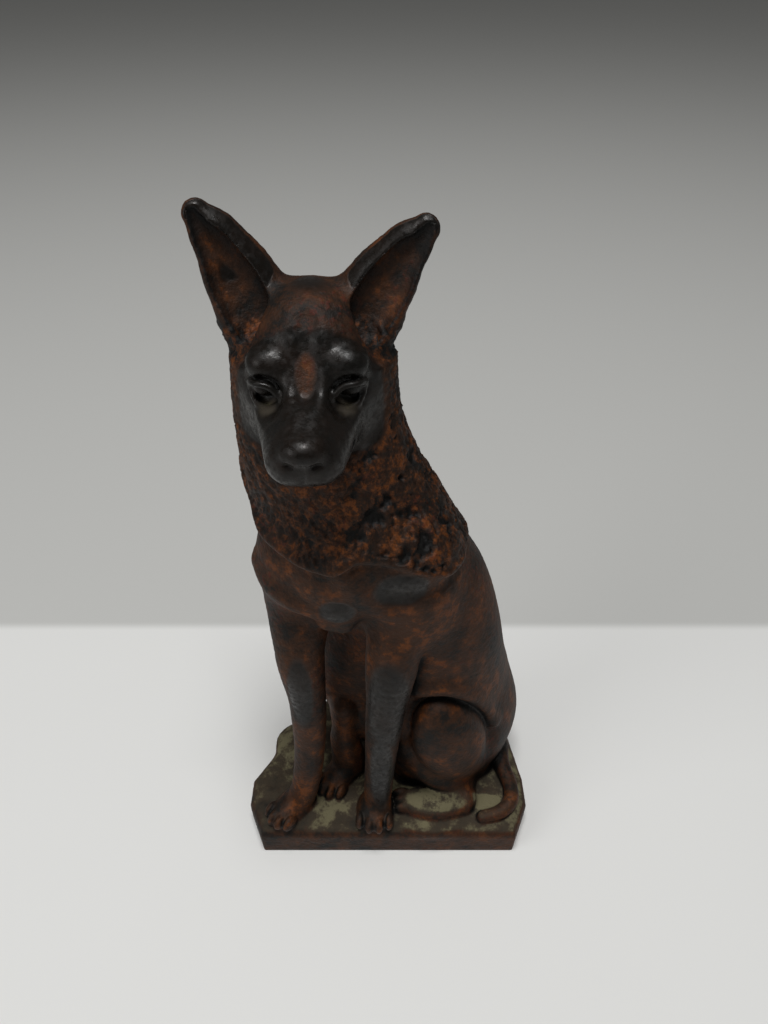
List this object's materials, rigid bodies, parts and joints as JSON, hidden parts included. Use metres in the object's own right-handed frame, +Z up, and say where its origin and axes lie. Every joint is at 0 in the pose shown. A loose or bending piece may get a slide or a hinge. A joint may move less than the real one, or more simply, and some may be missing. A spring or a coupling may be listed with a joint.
{
  "type": "dog statue",
  "caption": "Seated, prick-eared shepherd dog in cast iron, its head turned to the front, cast in one with a low base whose front corners are cut.",
  "frame": {"origin": "middle of the base's width and depth on its flat underside", "axes": "+Z up through the head, -Y the way the dog's face looks, +X the dog's own left, the side its hips are turned to"},
  "size_m": [0.0648, 0.049, 0.1391],
  "materials": {
    "cast_iron": "dark brown-black casting with worn red-brown paint and rust, rubbed glossy on the high points, pale dirt in the recesses"
  },
  "bodies": {
    "root": {"seated_dog": "cast_iron"}
  },
  "joints": []
}
